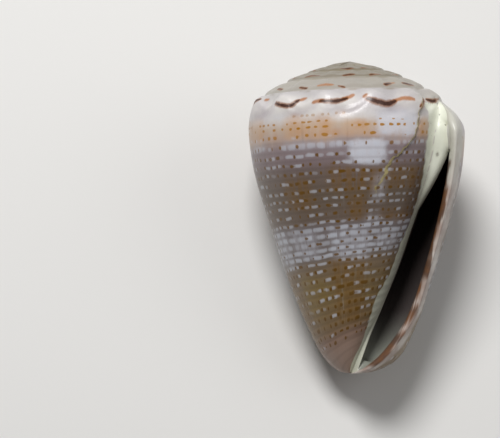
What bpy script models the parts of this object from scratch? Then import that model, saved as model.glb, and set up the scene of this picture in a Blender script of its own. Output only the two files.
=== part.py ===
"""Cone shell: one natural piece, a whole dextral shell about 30 mm long, lying on its back.

The shell is worked out in its own frame first. Depth is measured from the apex down the
axis, and angle is measured round the axis, 0 towards a viewer who faces the mouth and 90
degrees on their right. Age counts whorls back from the outer lip, so age 0 is the lip and
age 1 is the body wall under it. The finished shell is then laid down on its back.
"""
import math

import bmesh
import bpy
from mathutils import Matrix, Vector

MM = 0.001

# Main sizes of the shell, in millimetres
LENGTH = 30.0
TURNS = 6.0
LIP_SUTURE_RADIUS = 9.58
LIP_SUTURE_DIP = 0.72
LIP_DIP_TURNS = 0.6
SPIRE_POWER = 1.5
SPIRE_SLOPE = 0.33
SPIRE_SWELL = 0.00021
APEX_ROUND = 0.9

# Side of the last whorl: depth, radius near the lip, radius half a turn before it
SIDE = [
    (4.5, 10.93, 9.75),
    (7.5, 10.98, 9.72),
    (11.0, 10.62, 9.15),
    (15.0, 9.65, 7.95),
    (20.0, 8.18, 6.30),
    (25.0, 6.52, 4.35),
    (30.0, 4.60, 2.30),
]
SIDE_AGE = 0.07
GROWTH_TURNS = 4.5
BASE_START = 26.9
BASE_POWER = 2.8

# Growth folds that run down the back: angle in degrees, height in the middle, height added at the ends
FOLDS = [(170.0, 0.23, 0.13), (194.0, 0.23, 0.13), (218.0, 0.08, 0.0), (134.0, 0.08, 0.0)]
FOLD_WIDTH = 3.6
FOLD_MIDDLE = 14.6
FOLD_REACH = 4.8
FOLD_FADE = 4.0

# Shoulder: the handles of its curve from seam to foot, and what a tubercle adds to each
SHOULDER_DROP = 2.9
RAMP_WIDTH = 0.30
RAMP_WIDTH_GAIN = 0.50
RAMP_DROP = 0.35
CREST_INSET = -0.20
CREST_SWELL = 0.27
CREST_DROP = 0.62
CREST_LIFT = 0.29
RAMP_SPLIT = 0.65

# Tubercles, and how flat the older whorls are
TUBERCLES = 12
EARLY_TUBERCLES = 16
VALLEY_AGE = 0.1333
LIP_TUBERCLE = 0.22
LIP_TUBERCLE_END = 0.20
SPIRE_FLATTENING = 0.5
SPIRE_FLAT_TURNS = 0.3

# Lip: angle in degrees at the shoulder, at mid height and at the base
LIP_ANGLE = 62.0
LIP_TOP_LEAN = 8.0
LIP_TOP_DEPTH = 4.0
LIP_TOP_REACH = 2.0
LIP_BASE_START = 23.9
LIP_BASE_LEAN = 36.0
LIP_BASE_POWER = 1.2
LIP_THICKNESS = 0.86
LIP_BULGE = 0.42
LIP_BASE_SHARE = 0.35
LIP_TOP_LENGTH = 2.5
LIP_BEVEL_ANGLE = 5.0

# Mouth: depth where the slit opens and closes, and how far it reaches round the axis
MOUTH_TOP = 8.6
MOUTH_BOTTOM = 29.75
CAVITY_ROOF = 6.2
CAVITY_FLOOR = 28.9
CAVITY_ANGLE = 84.0
CAVITY_TAPER = 3.0
CAVITY_EASE = 40.0
MOUTH_POWER = 2.6
CAVITY_POWER_GAIN = 2.0

# Mesh density
COLUMNS = 60
RAMP_ROWS = 4
SHOULDER_ROWS = 3
SIDE_ROWS = 24
ROW_SPREAD = 0.9
CAVITY_COLUMNS = 11
STRIP_COLUMNS = 3
LAST_AGE = 4.75

# Rest on the back: roll about the shell's axis, then the axis is tipped up by the spire end
REST_ROLL = -4.8
REST_TILT = 15.5

SHELL_COLOUR = (0.56, 0.47, 0.42, 1.0)
SHELL_ROUGHNESS = 0.28


def clamp(value):
    """Return the value held between 0 and 1."""
    return min(max(value, 0.0), 1.0)


def smooth(value):
    """Return an eased step from 0 to 1."""
    x = clamp(value)
    return x * x * (3 - 2 * x)


def curve(depth, column):
    """Read one radius column of SIDE with a smooth curve through its points."""
    last = len(SIDE) - 1
    i = 0
    while i < last - 1 and depth > SIDE[i + 1][0]:
        i += 1
    before, start, end, after = (SIDE[min(max(n, 0), last)] for n in (i - 1, i, i + 1, i + 2))
    span = end[0] - start[0]
    x = (depth - start[0]) / span
    slope_in = (end[column] - before[column]) / (end[0] - before[0]) * span
    slope_out = (after[column] - start[column]) / (after[0] - start[0]) * span
    value = (2 * x**3 - 3 * x**2 + 1) * start[column] + (3 * x**2 - 2 * x**3) * end[column]
    return value + (x**3 - 2 * x**2 + x) * slope_in + (x**3 - x**2) * slope_out


def growth(age):
    """Return how far a whorl of this age has shrunk, 1 being half a turn's growth."""
    step = 1 - math.exp(-0.5 / GROWTH_TURNS)
    return (1 - math.exp(-(age - SIDE_AGE) / GROWTH_TURNS)) / step


def base_round(depth):
    """Return the factor that closes the shell round its base."""
    x = clamp((depth - BASE_START) / (LENGTH - BASE_START))
    return (1 - x**BASE_POWER) ** (1 / BASE_POWER)


def side_radius(age, depth):
    """Return the radius of the shell's side."""
    near_lip = curve(depth, 1)
    half_turn = curve(depth, 2)
    return (near_lip - (near_lip - half_turn) * growth(age)) * base_round(depth)


def fold(age, depth):
    """Return how far the growth folds stand out of the side."""
    angle = LIP_ANGLE + 360 * age
    away = abs(depth - FOLD_MIDDLE)
    ends = min(away / FOLD_REACH, 1.0) ** 2
    fade = 1 - smooth((away - FOLD_REACH) / FOLD_FADE)
    total = 0.0
    for place, height, end_height in FOLDS:
        total += (height + end_height * ends) * math.exp(-((angle - place) / FOLD_WIDTH) ** 2)
    return total * fade


def suture(age):
    """Return radius and depth of the seam above the whorl of this age."""
    radius = LIP_SUTURE_RADIUS * (1 - age / TURNS) ** SPIRE_POWER
    radius -= LIP_SUTURE_DIP * clamp(1 - age / LIP_DIP_TURNS) ** 2
    drop = math.hypot(radius, APEX_ROUND) - APEX_ROUND
    return radius, SPIRE_SLOPE * drop + SPIRE_SWELL * radius**4


def tubercle(age):
    """Return 1 on a tubercle's top and 0 in the valley beside it."""
    turns = min(age, 1.0) * TUBERCLES + max(age - 1.0, 0.0) * EARLY_TUBERCLES
    wave = 0.5 - 0.5 * math.cos(2 * math.pi * (turns - VALLEY_AGE * TUBERCLES))
    return LIP_TUBERCLE + (wave - LIP_TUBERCLE) * smooth(age / LIP_TUBERCLE_END)


def shoulder_foot(age):
    """Return radius, depth and scale of the foot of the shoulder."""
    if age < 1.0:
        depth = suture(age)[1] + SHOULDER_DROP
        return side_radius(age, depth), depth, 1.0
    radius, depth = suture(age - 1.0)
    scale = radius / suture(0.0)[0]
    drop = suture(1.0)[1] + SHOULDER_DROP - suture(0.0)[1]
    inset = suture(0.0)[0] - side_radius(1.0, suture(1.0)[1] + SHOULDER_DROP)
    return radius - inset * scale, depth + drop * scale, scale


def shoulder(age, share):
    """Return radius and depth on the ramp and shoulder, share 0 at the seam and 1 at its foot."""
    r0, d0 = suture(age)
    r3, d3, scale = shoulder_foot(age)
    width = r3 - r0
    drop = d3 - d0
    top = tubercle(age)
    r1 = r0 + width * (RAMP_WIDTH + RAMP_WIDTH_GAIN * top)
    d1 = d0 + drop * RAMP_DROP * (1 - top)
    r2 = r3 + scale * (CREST_INSET + CREST_SWELL * top)
    d2 = d0 + drop * (CREST_DROP - CREST_LIFT * top)
    a, b, c, d = ((1 - share) ** 3, 3 * share * (1 - share) ** 2, 3 * share**2 * (1 - share), share**3)
    return a * r0 + b * r1 + c * r2 + d * r3, a * d0 + b * d1 + c * d2 + d * d3


def lip_angle(depth):
    """Return the lip's angle at this depth, in degrees."""
    lean = LIP_TOP_LEAN * math.exp(-((depth - LIP_TOP_DEPTH) / LIP_TOP_REACH) ** 2)
    base = clamp((depth - LIP_BASE_START) / (LENGTH - LIP_BASE_START))
    return LIP_ANGLE + lean - LIP_BASE_LEAN * base**LIP_BASE_POWER


def point(angle, radius, depth):
    """Return a point of the shell's own frame, the spire towards +Y and the viewer at +Z."""
    a = math.radians(angle)
    return Vector((radius * math.sin(a), -depth, radius * math.cos(a)))


def whorl_point(age, radius, depth):
    """Return a point on a growth line of this age."""
    return point(lip_angle(depth) + 360 * age, radius, depth)


def outer_column(age):
    """Return the points of one growth line from its seam down to the base."""
    points = []
    for row in range(RAMP_ROWS + SHOULDER_ROWS):
        points.append(whorl_point(age, *shoulder(age, ramp_share(row))))
    start = shoulder_foot(age)[1]
    for row in range(SIDE_ROWS):
        share = row / SIDE_ROWS
        depth = start + (LENGTH - start) * math.sin(share * math.pi / 2) ** ROW_SPREAD
        points.append(whorl_point(age, side_radius(age, depth) + fold(age, depth), depth))
    return points


def ramp_share(row):
    """Return the share down the shoulder of one of its rows."""
    if row <= RAMP_ROWS:
        return RAMP_SPLIT * row / RAMP_ROWS
    return RAMP_SPLIT + (1 - RAMP_SPLIT) * (row - RAMP_ROWS) / SHOULDER_ROWS


def spire_column(age):
    """Return the points of one growth line between two seams of the spire."""
    r_end, d_end = suture(age - 1.0)
    r_cut, d_cut = shoulder(age, ramp_share(RAMP_ROWS))
    r_start, d_start = suture(age)
    swell = 1 - SPIRE_FLATTENING * smooth((age - 1.0) / SPIRE_FLAT_TURNS)
    points = []
    for row in range(RAMP_ROWS):
        share = row / RAMP_ROWS
        radius, depth = shoulder(age, ramp_share(row))
        radius += (r_end - r_cut) * smooth(share)
        depth += (d_end - d_cut) * smooth(share)
        r_chord = r_start + (r_end - r_start) * share
        d_chord = d_start + (d_end - d_start) * share
        radius = r_chord + (radius - r_chord) * swell
        depth = d_chord + (depth - d_chord) * swell
        points.append(whorl_point(age, radius, depth))
    return points


def slit_walls(offset, depth, lip_radius=math.inf):
    """Return the cavity's inner and outer radius, offset degrees behind the lip's edge."""
    thick = LIP_THICKNESS * (LIP_BASE_SHARE + (1 - LIP_BASE_SHARE) * base_round(depth))
    thick *= smooth((depth - suture(0.0)[1]) / LIP_TOP_LENGTH)
    inner = side_radius(1.0 + offset / 360, depth)
    outer = min(side_radius(offset / 360, depth), lip_radius) - thick
    return inner, max(outer, inner)


def openness(share, power):
    """Return 1 across a gap and 0 at its two ends."""
    return (1 - abs(2 * share - 1) ** power) ** (1 / power)


def cavity_point(offset, share, side):
    """Return a point of the cavity's wall, side -1 on the body and 1 inside the lip."""
    inward = smooth(offset / CAVITY_EASE)
    top = MOUTH_TOP + (CAVITY_ROOF - MOUTH_TOP) * inward
    bottom = MOUTH_BOTTOM + (CAVITY_FLOOR - MOUTH_BOTTOM) * inward
    depth = top + (bottom - top) * share
    inner, outer = slit_walls(offset, depth)
    reach = clamp(offset / CAVITY_ANGLE)
    gap = openness(share, MOUTH_POWER + CAVITY_POWER_GAIN * inward) * (1 - reach**CAVITY_TAPER) ** 0.5
    radius = (inner + outer) / 2 + side * gap * (outer - inner) / 2
    return point(lip_angle(depth) + offset, radius, depth)


class Mesh:
    """Vertices and triangles gathered column by column."""

    def __init__(self):
        self.vertices = []
        self.triangles = []

    def add(self, place):
        """Keep one vertex and return its number."""
        self.vertices.append(place)
        return len(self.vertices) - 1

    def marks(self, column, even):
        """Return where each vertex stands along its column: by count if even, or else by depth."""
        if even:
            places = [float(row) for row in range(len(column))]
        else:
            places = [-self.vertices[number].y for number in column]
        return places + [math.inf]

    def stitch(self, left, right):
        """Fill between two columns with triangles, which may share ends or differ in count."""
        i = 0
        j = 0
        left_marks = self.marks(left, len(left) == len(right))
        right_marks = self.marks(right, len(left) == len(right))
        while i < len(left) - 1 or j < len(right) - 1:
            if left_marks[i + 1] <= right_marks[j + 1]:
                corners = (left[i], left[i + 1], right[j])
                i += 1
            else:
                corners = (left[i], right[j + 1], right[j])
                j += 1
            if len(set(corners)) == 3:
                self.triangles.append(corners)


def build_shell():
    """Return the closed mesh of the whole shell."""
    mesh = Mesh()
    total = int(LAST_AGE * COLUMNS)
    pole = mesh.add(point(0.0, 0.0, LENGTH))
    seam = []
    columns = []
    for i in range(total + 1):
        age = i / COLUMNS
        if i <= COLUMNS:
            places = outer_column(age)
        else:
            places = spire_column(age)
        numbers = [mesh.add(place) for place in places]
        if i == COLUMNS:
            numbers[RAMP_ROWS] = seam[0]
        if i <= COLUMNS:
            numbers.append(pole)
        else:
            numbers.append(seam[i - COLUMNS])
        seam.append(numbers[0])
        columns.append(numbers)
    for i in range(total):
        left = columns[i]
        right = columns[i + 1]
        if i >= COLUMNS:
            left = left[:RAMP_ROWS + 1]
        mesh.stitch(left, right)
    close_apex(mesh, columns, total)
    close_mouth(mesh, columns[0], columns[COLUMNS][RAMP_ROWS:])
    return mesh


def close_apex(mesh, columns, total):
    """Cap the spire where its spiral stops."""
    apex = mesh.add(point(0.0, 0.0, 0.0))
    rim = [columns[i][0] for i in range(total - COLUMNS, total + 1)]
    end = columns[total][:RAMP_ROWS + 1]
    loop = rim + end[1:-1]
    for here, there in zip(loop, loop[1:] + loop[:1]):
        mesh.triangles.append((here, there, apex))


def close_mouth(mesh, lip, body):
    """Fill between the lip's outer edge and the body wall: callus, cavity and lip."""
    rows = len(lip)
    places = [mesh.vertices[number] for number in lip]
    depths = [-place.y for place in places]
    first = next(row for row in range(rows) if depths[row] > MOUTH_TOP)
    last = max(row for row in range(rows - 1) if depths[row] < MOUTH_BOTTOM)
    left_edge = [lip[0]]
    right_edge = [lip[0]]
    offset = LIP_BEVEL_ANGLE
    for row in range(1, rows - 1):
        if first < row < last:
            share = (row - first) / (last - first)
            left_edge.append(mesh.add(cavity_point(offset, share, -1)))
            right_edge.append(mesh.add(cavity_point(offset, share, 1)))
        else:
            lip_radius = math.hypot(places[row].x, places[row].z)
            inner, outer = slit_walls(offset, depths[row], lip_radius)
            angle = lip_angle(depths[row]) + offset
            number = mesh.add(point(angle, (inner + outer) / 2, depths[row]))
            left_edge.append(number)
            right_edge.append(number)
    left_edge.append(lip[-1])
    right_edge.append(lip[-1])
    mesh.stitch(body, left_edge)
    fill_cavity(mesh, left_edge[first:last + 1], right_edge[first:last + 1])
    fill_lip(mesh, right_edge, lip)


def fill_cavity(mesh, left_edge, right_edge):
    """Build the two walls of the cavity, which meet at its roof, floor and far end."""
    rows = len(left_edge)
    left = left_edge
    right = right_edge
    for column in range(1, CAVITY_COLUMNS + 1):
        offset = LIP_BEVEL_ANGLE + (CAVITY_ANGLE - LIP_BEVEL_ANGLE) * column / CAVITY_COLUMNS
        body_wall = []
        lip_wall = []
        for row in range(rows):
            share = row / (rows - 1)
            number = mesh.add(cavity_point(offset, share, -1))
            body_wall.append(number)
            if row in (0, rows - 1) or column == CAVITY_COLUMNS:
                lip_wall.append(number)
            else:
                lip_wall.append(mesh.add(cavity_point(offset, share, 1)))
        mesh.stitch(left, body_wall)
        mesh.stitch(lip_wall, right)
        left = body_wall
        right = lip_wall


def fill_lip(mesh, edge, lip):
    """Round the lip's edge from its inner side to its outer side."""
    left = edge
    for step in range(1, STRIP_COLUMNS):
        turn = math.pi * step / STRIP_COLUMNS
        column = [lip[0]]
        for row in range(1, len(lip) - 1):
            inner = mesh.vertices[edge[row]]
            outer = mesh.vertices[lip[row]]
            place = inner.lerp(outer, (1 - math.cos(turn)) / 2)
            forward = Vector((-place.z, 0.0, place.x))
            reach = LIP_BULGE * clamp((outer - inner).length / LIP_THICKNESS)
            place += forward.normalized() * (reach * math.sin(turn))
            column.append(mesh.add(place))
        column.append(lip[-1])
        mesh.stitch(left, column)
        left = column
    mesh.stitch(left, lip)


def shell_material():
    """Return the glossy cream and brown of the shell, as one plain colour."""
    material = bpy.data.materials.new("shell_porcelain")
    material.use_nodes = True
    surface = material.node_tree.nodes["Principled BSDF"]
    surface.inputs["Base Color"].default_value = SHELL_COLOUR
    surface.inputs["Roughness"].default_value = SHELL_ROUGHNESS
    surface.inputs["Metallic"].default_value = 0.0
    return material


def lay_down(places):
    """Turn the shell on its back and set it on the floor over the origin."""
    roll = Matrix.Rotation(math.radians(REST_ROLL), 4, "Y")
    tilt = Matrix.Rotation(math.radians(REST_TILT), 4, "X")
    turned = [tilt @ (roll @ place) * MM for place in places]
    low = [min(place[axis] for place in turned) for axis in range(3)]
    high = [max(place[axis] for place in turned) for axis in range(3)]
    centre = Vector(((low[0] + high[0]) / 2, (low[1] + high[1]) / 2, low[2]))
    return [place - centre for place in turned]


def main():
    """Build the shell as one closed object."""
    for thing in list(bpy.data.objects):
        bpy.data.objects.remove(thing)
    shell = build_shell()
    data = bpy.data.meshes.new("cone_shell")
    data.from_pydata(lay_down(shell.vertices), [], shell.triangles)
    work = bmesh.new()
    work.from_mesh(data)
    loose = [vertex for vertex in work.verts if not vertex.link_faces]
    bmesh.ops.delete(work, geom=loose, context="VERTS")
    bmesh.ops.recalc_face_normals(work, faces=work.faces)
    work.to_mesh(data)
    work.free()
    data.shade_smooth()
    data.materials.append(shell_material())
    bpy.context.scene.collection.objects.link(bpy.data.objects.new("cone_shell", data))


main()
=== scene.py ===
"""Looks of the cone shell: the glossy porcelain surface with its rows of dots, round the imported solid.

The shell is worked out in its own frame, as the solid is. Depth is measured in millimetres
from the apex down the axis. Angle is measured round the axis, 0 towards a viewer who faces
the mouth and 90 degrees on their right, and it goes on past 360 on the older whorls. Age
counts whorls back from the outer lip. The finished shell is then laid down on its back.
"""
import math

import bpy
import numpy as np
from mathutils import Matrix, Vector


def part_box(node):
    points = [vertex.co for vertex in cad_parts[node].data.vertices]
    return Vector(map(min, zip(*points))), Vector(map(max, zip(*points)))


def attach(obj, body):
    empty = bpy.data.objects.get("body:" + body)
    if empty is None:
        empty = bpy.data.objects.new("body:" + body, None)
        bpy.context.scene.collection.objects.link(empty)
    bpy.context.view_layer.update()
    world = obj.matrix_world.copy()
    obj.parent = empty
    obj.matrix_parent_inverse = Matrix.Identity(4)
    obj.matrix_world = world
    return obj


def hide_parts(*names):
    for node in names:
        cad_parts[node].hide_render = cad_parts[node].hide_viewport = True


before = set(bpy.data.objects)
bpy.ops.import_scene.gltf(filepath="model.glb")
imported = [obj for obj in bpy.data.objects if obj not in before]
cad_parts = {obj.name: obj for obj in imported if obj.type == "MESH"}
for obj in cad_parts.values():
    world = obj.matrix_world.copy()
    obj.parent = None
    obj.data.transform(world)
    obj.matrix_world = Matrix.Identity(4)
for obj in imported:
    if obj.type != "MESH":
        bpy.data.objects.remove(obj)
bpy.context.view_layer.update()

MM = 0.001

# Main sizes of the shell, in millimetres, as in the solid
LENGTH = 30.0
TURNS = 6.0
LIP_SUTURE_RADIUS = 9.58
LIP_SUTURE_DIP = 0.72
LIP_DIP_TURNS = 0.6
SPIRE_POWER = 1.5
SPIRE_SLOPE = 0.33
SPIRE_SWELL = 0.00021
APEX_ROUND = 0.9

# Side of the last whorl: depth, radius near the lip, radius half a turn before it
SIDE = [
    (4.5, 10.93, 9.75),
    (7.5, 10.98, 9.72),
    (11.0, 10.62, 9.15),
    (15.0, 9.65, 7.95),
    (20.0, 8.18, 6.30),
    (25.0, 6.52, 4.35),
    (30.0, 4.60, 2.30),
]
SIDE_AGE = 0.07
GROWTH_TURNS = 4.5
BASE_START = 26.9
BASE_POWER = 2.8

# Growth folds that run down the back: angle in degrees, height in the middle, height added at the ends
FOLDS = [(170.0, 0.23, 0.13), (194.0, 0.23, 0.13), (218.0, 0.08, 0.0), (134.0, 0.08, 0.0)]
FOLD_WIDTH = 3.6
FOLD_MIDDLE = 14.6
FOLD_REACH = 4.8
FOLD_FADE = 4.0

# Shoulder: the handles of its curve from seam to foot, and what a tubercle adds to each
SHOULDER_DROP = 2.9
RAMP_WIDTH = 0.30
RAMP_WIDTH_GAIN = 0.50
RAMP_DROP = 0.35
CREST_INSET = -0.20
CREST_SWELL = 0.27
CREST_DROP = 0.62
CREST_LIFT = 0.29
RAMP_SPLIT = 0.65

# Tubercles, and how flat the older whorls are
TUBERCLES = 12
EARLY_TUBERCLES = 16
VALLEY_AGE = 0.1333
LIP_TUBERCLE = 0.22
LIP_TUBERCLE_END = 0.20
SPIRE_FLATTENING = 0.5
SPIRE_FLAT_TURNS = 0.3

# Lip: angle in degrees at the shoulder, at mid height and at the base
LIP_ANGLE = 62.0
LIP_TOP_LEAN = 8.0
LIP_TOP_DEPTH = 4.0
LIP_TOP_REACH = 2.0
LIP_BASE_START = 23.9
LIP_BASE_LEAN = 36.0
LIP_BASE_POWER = 1.2
LIP_THICKNESS = 0.86
LIP_BULGE = 0.42
LIP_BASE_SHARE = 0.35
LIP_TOP_LENGTH = 2.5
LIP_BEVEL_ANGLE = 5.0

# Mouth: depth where the slit opens and closes, and how far it reaches round the axis
MOUTH_TOP = 8.6
MOUTH_BOTTOM = 29.75
MOUTH_TAPER = 5.6
MOUTH_TAPER_POWER = 0.8
MOUTH_TAPER_SHARE = 0.92
PAD_START = 5.6
PAD_REACH = 0.94
PAD_REACH_BELOW = 0.5
CAVITY_ROOF = 6.2
CAVITY_FLOOR = 28.9
CAVITY_ANGLE = 84.0
CAVITY_TAPER = 3.0
CAVITY_EASE = 40.0
MOUTH_POWER = 2.6
CAVITY_POWER_GAIN = 2.0

# Mesh density
COLUMNS = 360
RAMP_ROWS = 16
SHOULDER_ROWS = 10
SIDE_ROWS = 152
ROW_SPREAD = 0.9
CALLUS_COLUMNS = 14
CAVITY_COLUMNS = 30
STRIP_COLUMNS = 8
LAST_AGE = 4.75

# Rest on the back: roll about the shell's axis, then the axis is tipped up by the spire end
REST_ROLL = -4.8
REST_TILT = 15.5

# Camera in the shell's own frame, in millimetres
EYE = (-9.63, -15.17, 240.75)
LENS = 180.0
SENSOR = 36.0

# Rows of dots: their depth at ROW_ANGLE, and how they climb as the shell is followed back
ROWS = [
    5.75, 6.42, 6.86, 7.7, 8.6, 9.54, 10.34, 11.2, 12.06, 12.95, 13.7, 14.35, 15.18, 15.98, 16.6,
    17.3, 18.0, 18.65, 19.2, 19.86, 20.62, 21.46, 22.4, 23.3, 24.18, 25.02, 25.94, 26.74, 27.54, 28.4,
]
ROW_ANGLE = 300.0
ROW_CLIMB = 0.0007
ROW_CLIMB_FRONT = 0.00082
ROW_DROP_FRONT = 0.00448
ROW_STRAIGHT_FRONT = 0.004
ROW_STRAIGHT_DEPTH = 10.34
ROW_STEP = 0.25
ROW_STEP_ANGLE = 335.0
ROW_STEP_WIDTH = 8.0

# How much of each kind of mark a row carries: row number and amount
WHITE_BY_ROW = [
    (0, 0.0), (3.2, 0.10), (3.8, 0.70), (6.0, 0.62), (6.6, 0.50), (12.8, 0.52), (13.8, 1.0), (18.2, 1.0),
    (18.9, 0.50), (24, 0.38), (27, 0.22), (28.5, 0.0),
]
DOTS_BY_ROW = [
    (-1.5, 0.0), (0, 0.10), (3.2, 0.30), (4, 0.60), (6, 0.92), (13, 0.95), (14, 0.70), (18, 0.72),
    (19, 0.95), (27, 0.95), (28, 0.5), (28.6, 0.0),
]

# Patches by angle from and to, and depth from and to
ORANGE_PATCHES = [
    (276, 285, 6.0, 6.8), (294, 312, 6.0, 6.7), (294, 311, 6.9, 7.8), (321, 346, 5.2, 7.4),
    (349, 355, 5.0, 5.5), (360, 393, 5.9, 6.8), (347, 352, 6.9, 7.4), (356, 360, 7.1, 7.6),
    (369, 374, 7.0, 7.5), (405, 413, 6.2, 7.5), (186, 201, 6.6, 8.2), (213, 231, 6.2, 7.0),
    (226, 241, 7.3, 7.9), (237, 276, 6.1, 7.6), (150, 162, 7.6, 9.2), (171, 178, 7.2, 7.8),
    (100, 116, 7.4, 9.0), (122, 131, 7.8, 8.6),
]
PEACH_PATCHES = [
    (272, 300, 5.6, 8.4), (315, 350, 5.4, 8.0), (352, 372, 5.8, 7.6), (400, 416, 5.6, 7.6),
    (128, 148, 7.4, 10.6), (205, 275, 6.0, 7.8), (80, 120, 6.8, 9.4),
]
SNOW_PATCHES = [
    (357, 379, 7.7, 10.1), (281, 298, 7.9, 8.7), (316, 336, 7.9, 8.7), (336, 356, 7.8, 8.6),
    (373, 400, 4.4, 7.6), (374, 381, 10.9, 13.6), (371, 381, 14.7, 15.5), (343, 375, 16.0, 18.9),
    (305, 330, 16.4, 18.9), (280, 300, 16.6, 20.0), (379, 403, 16.3, 17.6), (183, 201, 8.8, 10.9),
    (183, 201, 17.3, 22.4), (157, 176, 9.6, 11.2), (157, 176, 18.2, 22.2), (146, 156, 9.6, 12.1),
    (146, 156, 18.8, 22.2), (205, 240, 17.3, 20.2), (246, 276, 17.3, 20.2), (205, 222, 8.4, 9.9),
    (228, 274, 8.3, 9.7), (96, 118, 9.8, 12.0), (84, 110, 18.6, 22.0),
]
TAN_PATCHES = [
    (312, 331, 11.4, 14.3), (345, 379, 10.2, 12.7), (383, 416, 10.2, 12.2), (382, 416, 14.4, 15.3),
    (357, 369, 12.8, 15.2), (183, 201, 11.1, 17.0), (163, 179, 11.6, 18.2), (132, 146, 13.0, 17.2),
    (214, 241, 11.2, 16.6), (340, 376, 19.0, 25.0), (188, 201, 22.7, 26.9), (268, 292, 20.5, 25.5),
    (96, 120, 12.4, 17.6),
]
OLIVE_PATCHES = [(240, 276, 21.6, 27.4), (300, 340, 20.6, 25.5), (378, 400, 20.0, 25.5)]
MILK_PATCHES = [(357, 379, 7.7, 10.0), (373, 401, 4.6, 7.4), (306, 318, 5.0, 5.9), (183, 201, 8.9, 10.6)]

# Width of a patch's edge, in degrees and millimetres
CRISP = (3.0, 0.45)
SOFT = (11.0, 1.0)

# Brown marks of the shoulder and spire: strength, half thickness, then (angle, share) points
STROKES = [
    (1.0, 0.20, [(309, 0.56), (312, 0.64), (317, 0.66), (321, 0.58), (324, 0.34)]),
    (1.0, 0.20, [(340, 0.60), (346, 0.62), (351, 0.52), (356, 0.32)]),
    (1.1, 0.25, [(368, 0.54), (372, 0.65), (377, 0.69), (382, 0.62), (388, 0.46)]),
    (0.8, 0.15, [(418, 0.37), (412, 0.55), (403, 0.79)]),
    (1.0, 0.19, [(421, 0.41), (425, 0.57), (430, 0.60)]),
    (0.9, 0.16, [(138, 0.76), (141, 0.53)]),
    (1.0, 0.16, [(173, 0.61), (175, 0.45)]),
    (1.0, 0.20, [(199, 0.62), (205, 0.33)]),
    (1.0, 0.18, [(226, 0.57), (233, 0.40), (239, 0.24)]),
    (0.8, 0.13, [(248, 0.45), (250, 0.41)]),
    (0.9, 0.17, [(257, 0.41), (271, 0.18)]),
    (1.0, 0.19, [(278, 0.60), (283, 0.45), (287, 0.33)]),
    (0.9, 0.16, [(108, 0.70), (113, 0.50)]),
    (0.8, 0.15, [(84, 0.60), (88, 0.50)]),
    (0.9, 0.15, [(502, 0.49), (505, 0.40)]),
    (1.0, 0.16, [(529, 0.53), (532, 0.42)]),
    (0.9, 0.14, [(549, 0.42), (556, 0.46)]),
    (1.0, 0.18, [(558, 0.48), (566, 0.45)]),
    (1.0, 0.19, [(582, 0.50), (595, 0.40)]),
    (0.8, 0.13, [(607, 0.40), (608, 0.44)]),
    (1.0, 0.17, [(621, 0.44), (627, 0.42)]),
    (0.9, 0.15, [(650, 0.40), (652, 0.46)]),
    (0.9, 0.15, [(656, 0.49), (662, 0.53)]),
    (0.9, 0.14, [(680, 0.53), (686, 0.57)]),
    (0.8, 0.12, [(709, 0.52), (714, 0.60)]),
    (1.0, 0.18, [(744, 0.54), (748, 0.50), (752, 0.42)]),
    (1.0, 0.19, [(763, 0.47), (769, 0.52), (775, 0.52)]),
    (0.8, 0.14, [(470, 0.50), (476, 0.46)]),
    (0.8, 0.14, [(447, 0.50), (452, 0.46)]),
    (0.6, 0.12, [(886, 0.49), (904, 0.57)]),
    (0.7, 0.12, [(928, 0.51), (933, 0.49)]),
    (0.8, 0.12, [(946, 0.58), (957, 0.58)]),
    (0.9, 0.13, [(973, 0.54), (982, 0.53)]),
    (0.9, 0.13, [(1003, 0.50), (1012, 0.55)]),
    (0.9, 0.13, [(1030, 0.56), (1046, 0.50)]),
    (0.9, 0.13, [(1071, 0.58), (1082, 0.54)]),
    (0.8, 0.12, [(1098, 0.58), (1112, 0.52)]),
    (0.8, 0.12, [(852, 0.52), (862, 0.55)]),
    (0.8, 0.12, [(826, 0.52), (836, 0.55)]),
    (0.8, 0.12, [(800, 0.54), (810, 0.50)]),
    (0.6, 0.10, [(1130, 0.52), (1142, 0.56)]),
    (0.9, 0.12, [(1190, 0.52), (1202, 0.56)]),
    (0.6, 0.10, [(1246, 0.52), (1260, 0.54)]),
    (1.0, 0.13, [(1285, 0.58), (1301, 0.58)]),
    (0.9, 0.12, [(1318, 0.52), (1337, 0.58)]),
    (0.7, 0.11, [(1368, 0.50), (1378, 0.58)]),
    (1.0, 0.13, [(1424, 0.52), (1435, 0.58), (1443, 0.52)]),
    (0.7, 0.11, [(1456, 0.54), (1472, 0.50)]),
    (0.7, 0.10, [(1609, 0.50), (1619, 0.50)]),
    (0.8, 0.10, [(1626, 0.44), (1638, 0.46)]),
    (0.6, 0.10, [(1656, 0.45), (1661, 0.49)]),
    (0.6, 0.10, [(1530, 0.50), (1545, 0.50)]),
]

# Orange marks of the same kind
EMBERS = [
    (0.9, 0.22, [(335, 0.54), (342, 0.60)]),
    (1.0, 0.20, [(353, 0.40), (357, 0.28), (360, 0.22)]),
    (1.0, 0.22, [(385, 0.50), (391, 0.42), (395, 0.47), (400, 0.62)]),
    (1.0, 0.34, [(417, 0.36), (411, 0.60), (404, 0.80)]),
    (0.9, 0.20, [(291, 0.26), (293, 0.22)]),
    (0.9, 0.20, [(325, 0.32), (328, 0.26)]),
    (0.9, 0.20, [(366, 0.44), (368, 0.42)]),
    (0.7, 0.30, [(694, 0.48), (705, 0.48)]),
    (0.8, 0.40, [(533, 0.45), (557, 0.44)]),
    (0.8, 0.34, [(584, 0.42), (597, 0.34)]),
    (0.5, 0.34, [(886, 0.50), (904, 0.56)]),
    (0.5, 0.30, [(919, 0.53), (933, 0.49)]),
    (0.6, 0.34, [(205, 0.30), (209, 0.24)]),
    (0.6, 0.34, [(240, 0.24), (246, 0.22)]),
    (0.7, 0.28, [(748, 0.48), (756, 0.38)]),
    (0.5, 0.30, [(1246, 0.52), (1262, 0.54)]),
]

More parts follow.
